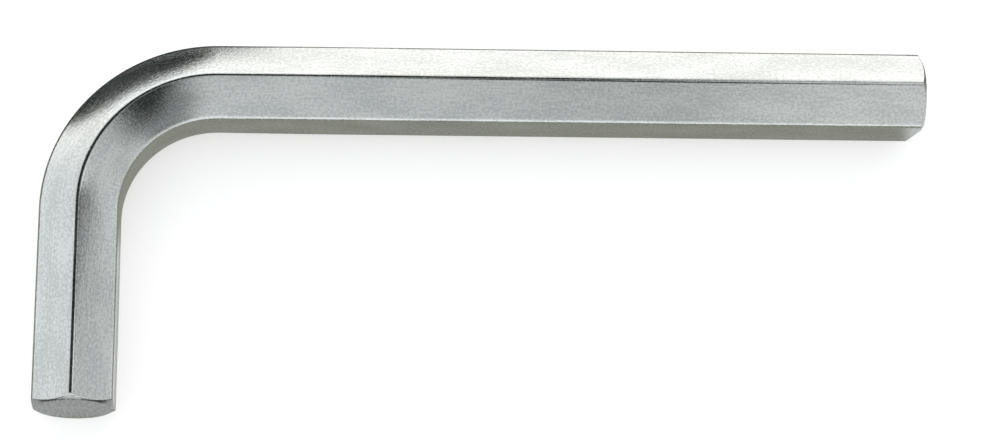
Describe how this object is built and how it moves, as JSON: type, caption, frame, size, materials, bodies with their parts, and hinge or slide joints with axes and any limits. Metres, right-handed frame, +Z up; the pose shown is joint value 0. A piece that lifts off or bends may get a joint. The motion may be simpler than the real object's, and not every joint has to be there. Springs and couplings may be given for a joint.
{
  "type": "hex key",
  "caption": "L-shaped hex key bent from one length of hexagonal steel bar, with a long and a short arm, to turn hexagon socket screws.",
  "frame": {"origin": "on the surface that the key lies on, below the middle of its outline seen from above", "axes": "+X along the long arm to its tip, the short arm along -Y, +Z up, square to the plane of the bend"},
  "size_m": [0.112, 0.047, 0.0113],
  "materials": {
    "plated_steel": "satin nickel plate over drawn bar, with fine lines along the bar"
  },
  "bodies": {
    "root": {"hex_key": "plated_steel"}
  },
  "joints": []
}
